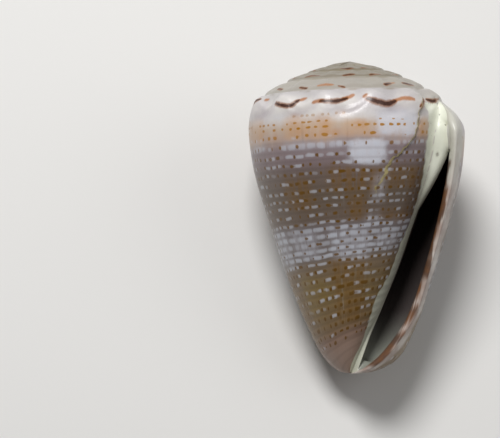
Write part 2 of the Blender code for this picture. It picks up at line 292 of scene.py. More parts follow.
# How marks are drawn: rounds that find their age and cut their corners, thickness at the ends, and taper
LEAN_ROUNDS = 4
CORNER_ROUNDS = 2
CORNER_CUT = 0.25
MARK_ENDS = 0.55
MARK_TAPER = 0.7
MARKS_LOWEST = 7.5

# The healed scar of the front: depth and angle down its ragged edge, waves of the edge, height of the step
SCAR = [
    (3.7, 410.0), (4.04, 408.0), (5.2, 403.0), (6.3, 402.6), (7.7, 398.6), (8.4, 394.0), (9.24, 388.0),
    (9.9, 382.7), (11.4, 380.0), (12.1, 375.6), (14.0, 374.0),
]
SCAR_WAVES = [(0.55, 7.1, 0.0), (0.35, 17.0, 1.0)]
SCAR_HEIGHT = [(3.4, 0.10), (4.2, 0.30), (8.0, 0.28), (9.9, 0.17), (11.5, 0.08), (13.5, 0.0)]
SCAR_TOP = 3.4
SCAR_STEP = 1.6
SCAR_SPREAD = 14.0
SCAR_GROOVE = (0.5, 1.0, 1.2)
SCAR_GROOVE_TOP = 3.8
SCAR_LINE_TOP = 3.6
SCAR_LINE_WIDTH = 1.3
SCAR_LINE_HEIGHT = 0.12

# Growth lines of the back: angle and ridge height, waves of each line, ridge width, then the groove beside
# a ridge: its depth as a share, how far off and how wide. A fade says where it starts or ends, and how wide.
GROWTH_LINES = [(202.5, 0.11), (179.5, 0.06), (159.0, 0.06), (145.5, 0.05), (243.0, 0.03), (104.0, 0.05)]
GROWTH_WAVES = (0.5, 0.9, 0.25, 2.3)
GROWTH_RIDGE = 1.3
GROWTH_GROOVE = (0.8, 2.6, 1.4)
GROWTH_FADE_IN = (7.0, 2.0)
GROWTH_FADE_OUT = (25.0, 4.0)

# Spiral ribs of the side, by row
RIB_HEIGHT = 0.006
RIB_GAIN = 0.009
RIB_GAIN_FADE = (16.0, 8.0)
RIB_FADE_IN = (2.0, 3.0)
RIB_FADE_OUT = (29.5, 2.0)

# Grooves round the ramp, and ledges of the spire and crest: height, share down the shoulder and width
RAMP_GROOVES = 7
RAMP_GROOVE_HEIGHT = 0.007
RAMP_GROOVE_AGES = 4.5
SPIRE_LEDGES = [(0.10, 0.52, 0.11), (-0.05, 0.02, 0.07)]
SPIRE_LEDGE_AGES = 4.6
CREST_SHARE = 0.50
CREST_SHARE_RISE = 0.10
CREST_LEDGE = (0.05, 0.07)
VALLEY_DIP = (0.07, 0.17, 0.08)
CREST_START = 0.12

# Edge of the callus on the body: depth and angle, and its waves
CALLUS_EDGE = [
    (4.0, 415.0), (5.9, 415.0), (7.1, 414.0), (8.5, 413.5), (10.8, 416.4), (12.2, 418.3), (13.7, 419.4),
    (15.3, 419.2), (16.6, 416.8), (17.3, 413.3), (19.0, 411.0), (20.4, 409.3), (21.5, 402.8), (22.7, 395.5),
    (24.0, 395.3), (25.6, 395.0), (27.1, 393.0), (28.0, 382.0), (28.9, 368.6), (29.6, 360.0),
]
CALLUS_WAVE = (0.6, 5.3)
CALLUS_SOFT = 1.6
CALLUS_TOP = 4.2
CALLUS_FRONT = 300.0

# Where callus and body are evened out: rounds, strength, and fades by angle and depth
EVEN_ROUNDS = 24
EVEN_STRENGTH = 0.7
EVEN_ANGLES = (412.0, 8.0)
EVEN_FADE_IN = (4.2, 1.2)
EVEN_FADE_OUT = (28.8, 1.5)

# Lump, pit and crease of the callus: middle to the right and up from the apex, and widths; the second lump
# spot places a painted highlight on the lump, and the crease also gets painted shade
LUMP = (9.25, -7.3, 0.55, 1.3)
LUMP_HEIGHT = 0.30
# spot of the painted highlight on the callus lump
LUMP_HIGHLIGHT = (9.3, -7.5, 0.55, 1.1)
PIT = (8.1, -9.05, 0.13, 0.18)
CREASE_THROUGH = (9.3, -6.3)
CREASE_ACROSS = (0.57, 0.82)
CREASE_WIDTH = 0.16
CREASE_MIDDLE = 9.35
CREASE_LENGTH = 0.5
CREASE_DEPTH = 0.22

# Brown margin inside the lip: depth from and to, and how far it comes out over the lip's edge
LIP_BROWN = [
    (9.6, 12.2, 0.80), (12.2, 15.9, 0.52), (15.9, 18.7, 0.68), (18.7, 20.9, 0.38), (21.0, 23.2, 0.78),
    (23.3, 25.3, 0.50), (25.8, 29.2, 0.30),
]
LIP_BROWN_WAVE = (0.10, 2.1)
LIP_BROWN_SOFT = 0.5
LIP_BROWN_REACH = (0.28, 0.14)
LIP_BROWN_INSIDE = (0.07, 0.03)

# Pale band along the lip's outer side, and the painted shade in the valleys between tubercles
LIP_PALE = (13.0, 7.0)
LIP_PALE_WAVE = (2.0, 1.7)
VALLEY_SHADE_SHARE = 0.80
VALLEY_SHADE_WIDTH = 0.22

# What tan and snowy patches add to the rows, and what snow takes from the dots
SNOW_WHITES = 0.45
TAN_WHITES = 0.25
SNOW_DOTS = 0.45
TAN_DOTS = 0.15

# A row number for what carries no rows
NO_ROW = -2.0

# Ground colour by row, on a screen, and how many degrees each cell of a row takes
ROW_RANGE = 30.0
GROUND_BY_ROW = [
    (0.0, (218, 213, 212)), (0.8, (208, 198, 192)), (1.8, (198, 178, 160)), (3.0, (184, 160, 146)),
    (4.2, (142, 126, 128)), (5.6, (128, 112, 113)), (6.9, (112, 97, 90)), (9.5, (107, 92, 78)),
    (12.6, (110, 94, 82)), (13.8, (124, 115, 115)), (18.0, (124, 114, 110)), (19.2, (124, 106, 86)),
    (22.5, (128, 106, 70)), (26.3, (130, 106, 76)), (27.6, (140, 114, 98)), (29.2, (156, 132, 118)),
]
PERIOD_BY_ROW = [
    (0, 4.5), (4, 5.6), (8, 6.0), (12.6, 6.4), (14, 9.6), (18, 9.6), (19.4, 8.0), (24, 9.5), (28, 12.0),
]
PERIOD_TOP = 12.0

# Colour of the hollow by share of the shell's length: its own grey with painted shade, darkest deep inside
# towards the spire
HOLLOW_SHADE = [(0.30, (40, 30, 28)), (0.60, (58, 50, 48)), (0.80, (92, 84, 82)), (0.95, (140, 142, 132))]

# Colours on a screen, 0 to 255, and how strongly each is laid over what is under it
TINTS = {
    "peach": (202, 162, 124, 0.46),
    "orange": (194, 134, 76, 0.40),
    "olive": (136, 112, 46, 0.45),
    "tan": (122, 88, 38, 0.62),
    "snow": (196, 196, 206, 0.48),
    "milk": (212, 212, 220, 0.75),
    "dark streak": (88, 70, 56, 0.26),
    "pale streak": (190, 184, 188, 0.22),
    "gap": (62, 50, 44, 0.15),
    "bar": (202, 206, 216, 1.0),
    "upper dot": (172, 116, 6, 1.0),
    "lower dot": (104, 70, 0, 1.0),
    "cool cream": (206, 200, 202, 1.0),
    "warm cream": (226, 222, 216, 1.0),
    "spire": (160, 154, 142, 0.80),
    "apex": (122, 112, 92, 0.90),
    # painted shade along the seam above the last whorl's ramp
    "ramp seam shade": (176, 172, 172, 0.60),
    # painted shade: lavender darkening in the valleys between tubercles
    "valley_shade": (104, 86, 98, 0.62),
    # painted shade: a thin brown-grey line along the seams between whorls
    "seam shade line": (128, 112, 74, 0.55),
    "ember": (168, 98, 16, 0.80),
    "ink edge": (138, 80, 22, 0.75),
    "ink": (62, 28, 14, 0.96),
    "scar": (206, 190, 128, 0.8),
    "scar pit": (60, 50, 20, 0.9),
    "callus": (214, 216, 200, 1.0),
    "pale callus": (234, 236, 220, 1.0),
    "green callus": (196, 202, 168, 0.5),
    # painted highlight on the callus lump
    "lump_highlight": (246, 246, 228, 0.85),
    # painted shade in the crease across the callus
    "crease": (128, 126, 92, 0.80),
    "speck": (84, 78, 52, 0.7),
    "low callus": (158, 158, 140, 0.45),
    "pit": (64, 42, 18, 0.9),
    "lip": (168, 148, 138, 1.0),
    "pale lip": (206, 198, 190, 1.0),
    "upper lip": (202, 204, 192, 0.7),
    "lip brown": (112, 68, 26, 1.0),
    "lip dark": (70, 38, 12, 1.0),
}

# Soft steps of the material: from, to, and where they aren't 0 and 1 the two results
STEPS = {
    "peach": (0.25, 1.05),
    "orange": (0.2, 1.0),
    "olive": (0.35, 0.65),
    "tan": (0.30, 0.60),
    "snow": (0.20, 0.65),
    "milk": (0.20, 1.00),
    "milk patch": (0.0, 0.45),
    "dark streak": (0.55, 0.80),
    "pale streak": (0.42, 0.20),
    "gap": (0.24, 0.50),
    "gap rows": (2.5, 4.0),
    "bar rows": (12.5, 14.0, 0.52, 0.66),
    "dot rows": (2.6, 4.6),
    "dot length": (16.0, 28.0, 0.130, 0.170),
    "dot height": (16.0, 28.0, 0.20, 0.24),
    "dot edge": (1.25, 0.65),
    "dot chance": (-0.02, 0.02),
    "bar height": (0.6, 1.0),
    "bar edge": (2.3, -0.1),
    "bar chance": (-0.10, 0.10),
    "bar patch": (0.02, 0.12),
    "bar strength": (-0.6, 0.9),
    "cream": (0.35, 0.70),
    "spire": (0.80, 1.1),
    "apex": (1.2, 3.4),
    # painted shade along the seam above the last whorl: where it lies across the ramp, then on which ages
    "ramp seam shade": (0.50, 0.10),
    "ramp seam shade ages": (1.05, 0.85),
    # painted shade line along the seams: where it lies, how noise breaks it, and that it stays off the side
    "seam shade line": (0.10, 0.0),
    "broken seam shade": (0.35, 0.65),
    "seam shade rows": (-0.9, -1.4),
    "shoulder": (-1.3, 1.4),
    "ember": (-0.60, 0.55),
    "ink edge": (-0.85, 0.10),
    "ink": (-0.05, 0.60),
    "scar": (0.10, 0.60),
    "scar middle": (0.45, 0.85),
    "scar pits": (0.60, 0.68),
    "scar depths": (10.2, 9.2),
    "callus": (0.35, 0.65),
    "green callus": (0.60, 0.72),
    "specks": (0.72, 0.76),
    "speck depths": (7.6, 6.8),
    "low callus": (9.0, 14.0),
    "lip": (0.38, 0.62),
    "upper lip": (13.0, 9.0),
    "rim": (0.0, 0.12),
    "lip brown": (0.4, 0.6),
    "inside": (0.0, 0.06),
    "hammer": (7.5, 4.5, 0.30, 2.2),
}

# Noises over the surface: scale, detail and roughness
NOISES = {
    "cloud": (260.0, 3.0, 0.6),
    "puff": (420.0, 4.0, 0.65),
    "fray": (2600.0, 2.0, 0.5),
    "seam": (700.0, 2.0, 0.5),
    "specks": (3400.0, 1.0, 0.5),
    "gloss": (900.0, 3.0, 0.5),
    "hammer": (1500.0, 3.0, 0.6),
}

# Noises over two values: the share taken of each, seed, detail and roughness
FLOWS = {
    "streak": (0.22, 0.11, 2.0, 4.0, 0.65),
    "pits": (0.35, 3.1, 5.0, 1.0, 0.5),
    "grain": (1.1, 0.35, 8.0, 3.0, 0.6),
    "slide": (0.012, 0.31, 3.7, 1.0, 0.5),
    "wander": (0.16, 0.9, 9.1, 2.0, 0.5),
    "lean": (0.09, 1.0, 1.3, 2.0, 0.5),
}

# How far noises swing the bands, the edges of clouds and marks, and the line of a row
BAND_SWING = 1.2
PUFF_SWING = 2.4
MILK_PUFF = 0.8
FRAY_SWING = 0.8
LEAN_SWING = 0.5

# Cells of a row: how far they slide along, where the dot and the bar lie in them, and their sizes
SLIDE = 4.0
WANDER = 1.1
OFFSET_SEED = (4.0, 2.5)
DOT_SEED = 0.5
BAR_SEED = 7.5
DOT_PLACE = (0.16, 0.14)
DOT_TAN = 0.10
DOT_ORANGE = 0.16
DOT_SIZES = (0.65, 0.9)
DOT_STRENGTH = (0.80, 0.20)
BAR_PLACE = 0.62
BAR_SHIFT = 0.06
BAR_REACH = (0.24, 0.20)
BAR_SIZES = (0.62, 0.60)
BAR_HEIGHT = (0.17, 0.12)
BAR_POWERS = (2.4, 2.0)
BAR_CHANCE = (0.05, 1.1)

# Finish of the surface
LIP_PALE_STRENGTH = 0.86
LIP_BROWN_STRENGTH = 0.92
ROUGHNESS = (0.30, 0.14)
REFRACTION = 1.53
SPECULAR = 0.40
COAT = 0.08
COAT_ROUGHNESS = 0.12
GRAIN_HEIGHT = 0.5
BAR_RELIEF = 0.10
BUMP_STRENGTH = 0.35
BUMP_DISTANCE = 0.00008

# Floor and light. Lamps: name, place in the shell's frame in millimetres, size in metres and power in watts
FLOOR_HALF = 0.6
FLOOR_COLOUR = (0.78, 0.77, 0.75, 1.0)
FLOOR_ROUGHNESS = 0.8
SKY_COLOUR = (1.0, 1.0, 1.0, 1.0)
SKY_STRENGTH = 0.17
LAMPS = [("key", (-40.0, 150.0, 190.0), 0.10, 0.56), ("fill", (150.0, 40.0, 120.0), 0.15, 0.06)]
LAMP_TARGET = (0.0, -12.0, 0.0)
CLIP_START = 0.01
CLIP_END = 5.0

# Colour sockets of a Mix node
MIX_FIRST = 6
MIX_SECOND = 7
MIX_RESULT = 2

# Screen colours: the end of the curve's straight foot, its slope, and the offset and power above it
SCREEN_FOOT = 0.04045
SCREEN_SLOPE = 12.92
SCREEN_OFFSET = 0.055
SCREEN_POWER = 2.4

TINY = 1e-12


def clamp(value):
    """Return the value held between 0 and 1."""
    return min(max(value, 0.0), 1.0)


def smooth(value):
    """Return an eased step from 0 to 1."""
    x = clamp(value)
    return x * x * (3 - 2 * x)


def curve(depth, column):
    """Read one radius column of SIDE with a smooth curve through its points."""
    last = len(SIDE) - 1
    i = 0
    while i < last - 1 and depth > SIDE[i + 1][0]:
        i += 1
    before, start, end, after = (SIDE[min(max(n, 0), last)] for n in (i - 1, i, i + 1, i + 2))
    span = end[0] - start[0]
    x = (depth - start[0]) / span
    slope_in = (end[column] - before[column]) / (end[0] - before[0]) * span
    slope_out = (after[column] - start[column]) / (after[0] - start[0]) * span
    value = (2 * x**3 - 3 * x**2 + 1) * start[column] + (3 * x**2 - 2 * x**3) * end[column]
    return value + (x**3 - 2 * x**2 + x) * slope_in + (x**3 - x**2) * slope_out


def growth(age):
    """Return how far a whorl of this age has shrunk, 1 being half a turn's growth."""
    step = 1 - math.exp(-0.5 / GROWTH_TURNS)
    return (1 - math.exp(-(age - SIDE_AGE) / GROWTH_TURNS)) / step


def base_round(depth):
    """Return the factor that closes the shell round its base."""
    x = clamp((depth - BASE_START) / (LENGTH - BASE_START))
    return (1 - x**BASE_POWER) ** (1 / BASE_POWER)


def side_radius(age, depth):
    """Return the radius of the shell's side."""
    near_lip = curve(depth, 1)
    half_turn = curve(depth, 2)
    return (near_lip - (near_lip - half_turn) * growth(age)) * base_round(depth)


def fold(age, depth):
    """Return how far the growth folds stand out of the side."""
    angle = LIP_ANGLE + 360 * age
    away = abs(depth - FOLD_MIDDLE)
    ends = min(away / FOLD_REACH, 1.0) ** 2
    fade = 1 - smooth((away - FOLD_REACH) / FOLD_FADE)
    total = 0.0
    for place, height, end_height in FOLDS:
        total += (height + end_height * ends) * math.exp(-((angle - place) / FOLD_WIDTH) ** 2)
    return total * fade


def suture(age):
    """Return radius and depth of the seam above the whorl of this age."""
    radius = LIP_SUTURE_RADIUS * (1 - age / TURNS) ** SPIRE_POWER
    radius -= LIP_SUTURE_DIP * clamp(1 - age / LIP_DIP_TURNS) ** 2
    drop = math.hypot(radius, APEX_ROUND) - APEX_ROUND
    return radius, SPIRE_SLOPE * drop + SPIRE_SWELL * radius**4


def tubercle(age):
    """Return 1 on a tubercle's top and 0 in the valley beside it."""
    turns = min(age, 1.0) * TUBERCLES + max(age - 1.0, 0.0) * EARLY_TUBERCLES
    wave = 0.5 - 0.5 * math.cos(2 * math.pi * (turns - VALLEY_AGE * TUBERCLES))
    return LIP_TUBERCLE + (wave - LIP_TUBERCLE) * smooth(age / LIP_TUBERCLE_END)


def shoulder_foot(age):
    """Return radius, depth and scale of the foot of the shoulder."""
    if age < 1.0:
        depth = suture(age)[1] + SHOULDER_DROP
        return side_radius(age, depth), depth, 1.0
    radius, depth = suture(age - 1.0)
    scale = radius / suture(0.0)[0]
    drop = suture(1.0)[1] + SHOULDER_DROP - suture(0.0)[1]
    inset = suture(0.0)[0] - side_radius(1.0, suture(1.0)[1] + SHOULDER_DROP)
    return radius - inset * scale, depth + drop * scale, scale


def shoulder(age, share):
    """Return radius and depth on the ramp and shoulder, share 0 at the seam and 1 at its foot."""
    r0, d0 = suture(age)
    r3, d3, scale = shoulder_foot(age)
    width = r3 - r0
    drop = d3 - d0
    top = tubercle(age)
    r1 = r0 + width * (RAMP_WIDTH + RAMP_WIDTH_GAIN * top)
    d1 = d0 + drop * RAMP_DROP * (1 - top)
    r2 = r3 + scale * (CREST_INSET + CREST_SWELL * top)
    d2 = d0 + drop * (CREST_DROP - CREST_LIFT * top)
    a, b, c, d = ((1 - share) ** 3, 3 * share * (1 - share) ** 2, 3 * share**2 * (1 - share), share**3)
    return a * r0 + b * r1 + c * r2 + d * r3, a * d0 + b * d1 + c * d2 + d * d3


def lip_angle(depth):
    """Return the lip's angle at this depth, in degrees."""
    lean = LIP_TOP_LEAN * math.exp(-((depth - LIP_TOP_DEPTH) / LIP_TOP_REACH) ** 2)
    base = clamp((depth - LIP_BASE_START) / (LENGTH - LIP_BASE_START))
    return LIP_ANGLE + lean - LIP_BASE_LEAN * base**LIP_BASE_POWER


def point(angle, radius, depth):
    """Return a point of the shell's own frame, the spire towards +Y and the viewer at +Z."""
    a = math.radians(angle)
    return Vector((radius * math.sin(a), -depth, radius * math.cos(a)))


def ramp_share(row):
    """Return the share down the shoulder of one of its rows."""
    if row <= RAMP_ROWS:
        return RAMP_SPLIT * row / RAMP_ROWS
    return RAMP_SPLIT + (1 - RAMP_SPLIT) * (row - RAMP_ROWS) / SHOULDER_ROWS


def slit_walls(offset, depth, lip_radius=math.inf):
    """Return the cavity's inner and outer radius, offset degrees behind the lip's edge."""
    thick = LIP_THICKNESS * (LIP_BASE_SHARE + (1 - LIP_BASE_SHARE) * base_round(depth))
    thick *= smooth((depth - suture(0.0)[1]) / LIP_TOP_LENGTH)
    inner = side_radius(1.0 + offset / 360, depth)
    outer = min(side_radius(offset / 360, depth), lip_radius) - thick
    return inner, max(outer, inner)


def openness(share, power):
    """Return 1 across a gap and 0 at its two ends."""
    return (1 - abs(2 * share - 1) ** power) ** (1 / power)


def cavity_point(offset, share, side):
    """Return a point of the cavity's wall, side -1 on the body and 1 inside the lip."""
    inward = smooth(offset / CAVITY_EASE)
    top = MOUTH_TOP + (CAVITY_ROOF - MOUTH_TOP) * inward
    bottom = MOUTH_BOTTOM + (CAVITY_FLOOR - MOUTH_BOTTOM) * inward
    depth = top + (bottom - top) * share
    inner, outer = slit_walls(offset, depth)
    taper = clamp((depth - MOUTH_TOP) / MOUTH_TAPER) ** MOUTH_TAPER_POWER
    inner += (outer - inner) * MOUTH_TAPER_SHARE * (1 - taper) * (1 - inward)
    reach = clamp(offset / CAVITY_ANGLE)
    gap = openness(share, MOUTH_POWER + CAVITY_POWER_GAIN * inward) * (1 - reach**CAVITY_TAPER) ** 0.5
    radius = (inner + outer) / 2 + side * gap * (outer - inner) / 2
    return point(lip_angle(depth) + offset, radius, depth)


class Shell:
    """Vertices with what the materials need to know of them, and triangles."""

    def __init__(self):
        self.vertices = []
        self.facts = []
        self.triangles = []

    def add(self, place, angle, share, callus=0.0, inside=0.0, rim=0.0):
        """Keep one vertex and return its number."""
        self.vertices.append(place)
        self.facts.append((angle, -place.y, share, callus, inside, rim))
        return len(self.vertices) - 1

    def marks(self, column, even):
        """Return where each vertex stands along its column: by count if even, or else by depth."""
        if even:
            places = [float(row) for row in range(len(column))]
        else:
            places = [-self.vertices[number].y for number in column]
        return places + [math.inf]

    def stitch(self, left, right):
        """Fill between two columns with triangles, which may share ends or differ in count."""
        i = 0
        j = 0
        left_marks = self.marks(left, len(left) == len(right))
        right_marks = self.marks(right, len(left) == len(right))
        while i < len(left) - 1 or j < len(right) - 1:
            if left_marks[i + 1] <= right_marks[j + 1]:
                corners = (left[i], left[i + 1], right[j])
                i += 1
            else:
                corners = (left[i], right[j + 1], right[j])
                j += 1
            if len(set(corners)) == 3:
                self.triangles.append(corners)


def add_outer_column(shell, age):
    """Add one growth line of the last whorl, from its seam down to the base."""
    numbers = []
    for row in range(RAMP_ROWS + SHOULDER_ROWS):
        share = ramp_share(row)
        radius, depth = shoulder(age, share)
        angle = lip_angle(depth) + 360 * age
        numbers.append(shell.add(point(angle, radius, depth), angle, share))
    start = shoulder_foot(age)[1]
    for row in range(SIDE_ROWS):
        share = row / SIDE_ROWS
        depth = start + (LENGTH - start) * math.sin(share * math.pi / 2) ** ROW_SPREAD
        angle = lip_angle(depth) + 360 * age
        radius = side_radius(age, depth) + fold(age, depth)
        numbers.append(shell.add(point(angle, radius, depth), angle, 1 + share))
    return numbers


def spire_point(age, share):
    """Return radius and depth on the spire, where the next whorl covers the shoulder's foot."""
    r_end, d_end = suture(age - 1.0)
    r_cut, d_cut = shoulder(age, RAMP_SPLIT)
    r_start, d_start = suture(age)
    swell = 1 - SPIRE_FLATTENING * smooth((age - 1.0) / SPIRE_FLAT_TURNS)
    step = share / RAMP_SPLIT
    radius, depth = shoulder(age, share)
    radius += (r_end - r_cut) * smooth(step)
    depth += (d_end - d_cut) * smooth(step)
    r_chord = r_start + (r_end - r_start) * step
    d_chord = d_start + (d_end - d_start) * step
    return r_chord + (radius - r_chord) * swell, d_chord + (depth - d_chord) * swell


def add_spire_column(shell, age):
    """Add one growth line between two seams of the spire."""
    numbers = []
    for row in range(RAMP_ROWS):
        share = ramp_share(row)
        radius, depth = spire_point(age, share)
        angle = lip_angle(depth) + 360 * age
        numbers.append(shell.add(point(angle, radius, depth), angle, share))
    return numbers


def build_shell():
    """Return the closed mesh of the whole shell."""
    shell = Shell()
    total = int(LAST_AGE * COLUMNS)
    pole = shell.add(point(0.0, 0.0, LENGTH), LIP_ANGLE, 2.0)
    seam = []
    columns = []
    for i in range(total + 1):
        age = i / COLUMNS
        if i <= COLUMNS:
            numbers = add_outer_column(shell, age)
        else:
            numbers = add_spire_column(shell, age)
        if i == COLUMNS:
            numbers[RAMP_ROWS] = seam[0]
        if i <= COLUMNS:
            numbers.append(pole)
        else:
            numbers.append(seam[i - COLUMNS])
        seam.append(numbers[0])
        columns.append(numbers)
    for i in range(total):
        left = columns[i]
        right = columns[i + 1]
        if i >= COLUMNS:
            left = left[:RAMP_ROWS + 1]
        shell.stitch(left, right)
    close_apex(shell, columns, total)
    close_mouth(shell, columns[0], columns[COLUMNS][RAMP_ROWS:])
    return shell


def close_apex(shell, columns, total):
    """Cap the spire where its spiral stops."""
    apex = shell.add(point(0.0, 0.0, 0.0), LIP_ANGLE + 360 * LAST_AGE, 0.0)
    rim = [columns[i][0] for i in range(total - COLUMNS, total + 1)]
    end = columns[total][:RAMP_ROWS + 1]
    loop = rim + end[1:-1]
    for here, there in zip(loop, loop[1:] + loop[:1]):
        shell.triangles.append((here, there, apex))


def close_mouth(shell, lip, body):
    """Fill between the lip's outer edge and the body wall: callus, cavity and lip."""
    rows = len(lip)
    depths = [-shell.vertices[number].y for number in lip]
    first = next(row for row in range(rows) if depths[row] > MOUTH_TOP)
    last = max(row for row in range(rows - 1) if depths[row] < MOUTH_BOTTOM)
    left_edge = [lip[0]]
    right_edge = [lip[0]]
    offset = LIP_BEVEL_ANGLE
    for row in range(1, rows - 1):
        share = shell.facts[lip[row]][2]
        if first < row < last:
            step = (row - first) / (last - first)
            for edge, side in ((left_edge, -1), (right_edge, 1)):
                place = cavity_point(offset, step, side)
                edge.append(shell.add(place, LIP_ANGLE + offset, share, callus=1.0))
        else:
            outside = shell.vertices[lip[row]]
            behind = offset * smooth((depths[row] - PAD_START) / (MOUTH_TOP - PAD_START))
            inner, outer = slit_walls(behind, depths[row], math.hypot(outside.x, outside.z))
            share_out = PAD_REACH
            if row >= last:
                share_out = PAD_REACH_BELOW
                behind = offset
            radius = inner + (outer - inner) * share_out
            place = point(lip_angle(depths[row]) + behind, radius, depths[row])
            number = shell.add(place, LIP_ANGLE + offset, share, callus=1.0)
            left_edge.append(number)
            right_edge.append(number)
    left_edge.append(lip[-1])
    right_edge.append(lip[-1])
    fill_callus(shell, body, left_edge)
    fill_cavity(shell, left_edge[first:last + 1], right_edge[first:last + 1])
    fill_lip(shell, right_edge, lip)


def fill_callus(shell, body, edge):
    """Join the body wall to the slit's inner edge with a smooth pad."""
    top = -shell.vertices[body[0]].y
    left = body
    for column in range(1, CALLUS_COLUMNS):
        step = column / CALLUS_COLUMNS
        numbers = [edge[0]]
        for row in range(1, len(edge) - 1):
            goal = shell.vertices[edge[row]]
            depth = max(-goal.y, top)
            start = point(lip_angle(depth) + 360.0, side_radius(1.0, depth), depth)
            share = shell.facts[edge[row]][2]
            angle = LIP_ANGLE + 360 + LIP_BEVEL_ANGLE * step
            numbers.append(shell.add(start.lerp(goal, step), angle, share, callus=1.0))
        numbers.append(edge[-1])
        shell.stitch(left, numbers)
        left = numbers
    shell.stitch(left, edge)


def fill_cavity(shell, left_edge, right_edge):
    """Build the two walls of the cavity, which meet at its roof, floor and far end."""
    rows = len(left_edge)
    left = left_edge
    right = right_edge
    for column in range(1, CAVITY_COLUMNS + 1):
        step = column / CAVITY_COLUMNS
        offset = LIP_BEVEL_ANGLE + (CAVITY_ANGLE - LIP_BEVEL_ANGLE) * step
        body_wall = []
        lip_wall = []
        for row in range(rows):
            share = row / (rows - 1)
            place = cavity_point(offset, share, -1)
            number = shell.add(place, LIP_ANGLE + 360 + offset, 1 + share, inside=step)
            body_wall.append(number)
            if row in (0, rows - 1) or column == CAVITY_COLUMNS:
                lip_wall.append(number)
            else:
                place = cavity_point(offset, share, 1)
                lip_wall.append(shell.add(place, LIP_ANGLE + offset, 1 + share, inside=step))
        shell.stitch(left, body_wall)
        shell.stitch(lip_wall, right)
        left = body_wall
        right = lip_wall


def fill_lip(shell, edge, lip):
    """Round the lip's edge from its inner side to its outer side."""
    left = edge
    for step in range(1, STRIP_COLUMNS):
        turn = math.pi * step / STRIP_COLUMNS
        column = [lip[0]]
        for row in range(1, len(lip) - 1):
            inner = shell.vertices[edge[row]]
            outer = shell.vertices[lip[row]]
            place = inner.lerp(outer, (1 - math.cos(turn)) / 2)
            forward = Vector((-place.z, 0.0, place.x))
            reach = LIP_BULGE * clamp((outer - inner).length / LIP_THICKNESS)
            place += forward.normalized() * (reach * math.sin(turn))
            share = shell.facts[lip[row]][2]
            rim = 1 - step / STRIP_COLUMNS
            column.append(shell.add(place, LIP_ANGLE, share, rim=rim))
        column.append(lip[-1])
        shell.stitch(left, column)
        left = column
    shell.stitch(left, lip)


def resting_matrix():
    """Return the turn that lays the shell on its back."""
    roll = Matrix.Rotation(math.radians(REST_ROLL), 4, "Y")
    tilt = Matrix.Rotation(math.radians(REST_TILT), 4, "X")
    return Matrix.Scale(MM, 4) @ tilt @ roll


def lay_down(places):
    """Turn the shell on its back, over the solid's box, and return the places and the whole move."""
    turn = resting_matrix()
    turned = [turn @ place for place in places]
    low = [min(place[axis] for place in turned) for axis in range(3)]
    high = [max(place[axis] for place in turned) for axis in range(3)]
    box_low, box_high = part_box("cone_shell")
    shift = Vector((
        (box_low[0] + box_high[0] - low[0] - high[0]) / 2,
        (box_low[1] + box_high[1] - low[1] - high[1]) / 2,
        box_low[2] - low[2],
    ))
    return [place + shift for place in turned], Matrix.Translation(shift) @ turn


def ease(values):
    """Return eased steps from 0 to 1 for an array."""
    x = np.clip(values, 0.0, 1.0)
    return x * x * (3 - 2 * x)


def centred(values, width):
    """Return an eased step up, this wide and with its middle at 0."""
    return ease(values / width + 0.5)


def rising(values, start, width):
    """Return an eased step up that begins at start."""
    return ease((values - start) / width)


def falling(values, end, width):
    """Return an eased step down that is over at end."""
    return ease((end - values) / width)


def bell(values, width):
    """Return a bell curve of this width round 0."""
    return np.exp(-(values / width) ** 2)


def read_table(values, table):
    """Read a table of (place, amount) pairs at these values."""
    places, amounts = zip(*table)
    return np.interp(values, places, amounts)


def row_numbers(angle, depth):
    """Return the number of the row of dots each vertex lies on, with its share to the next."""
    back = ROW_ANGLE - angle
    moved = depth + ROW_STEP / (1 + np.exp(-(angle - ROW_STEP_ANGLE) / ROW_STEP_WIDTH))
    behind = moved / (1 + ROW_CLIMB * back)
    upper = moved - ROW_STRAIGHT_FRONT * back
    lower = (moved + ROW_DROP_FRONT * back) / (1 + ROW_CLIMB_FRONT * back)
    front = np.where(upper < ROW_STRAIGHT_DEPTH, upper, lower)
    base = np.where(back > 0, behind, front)
    numbers = np.interp(base, ROWS, np.arange(len(ROWS)))
    numbers = np.where(base < ROWS[0], (base - ROWS[0]) / (ROWS[1] - ROWS[0]), numbers)
    return np.where(base > ROWS[-1], len(ROWS) - 1 + (base - ROWS[-1]), numbers)


def patches(angle, depth, areas, edges):
    """Return 1 inside any of the areas, with edges this many degrees and millimetres wide."""
    total = np.zeros(len(angle))
    wide, high = edges
    for first, last, top, bottom in areas:
        across = centred(angle - first, wide) * centred(last - angle, wide)
        down = centred(depth - top, high) * centred(bottom - depth, high)
        total = np.maximum(total, across * down)
    return total


def mark_points(points):
    """Return the places on the shoulder or spire that a mark runs through."""
    places = []
    for angle, share in points:
        depth = LIP_TOP_DEPTH
        for _ in range(LEAN_ROUNDS):
            age = (angle - lip_angle(depth)) / 360
            if age < 1.0:
                radius, depth = shoulder(age, share)
            else:
                radius, depth = spire_point(age, min(share, RAMP_SPLIT))
        places.append(point(angle, radius, depth)[:])
    return np.array(places)


def rounded(line):
    """Return a line of points with its corners cut."""
    for _ in range(CORNER_ROUNDS):
        middle = [line[0]]
        for start, end in zip(line, line[1:]):
            middle.append(start + (end - start) * CORNER_CUT)
            middle.append(end + (start - end) * CORNER_CUT)
        middle.append(line[-1])
        line = middle
    return line


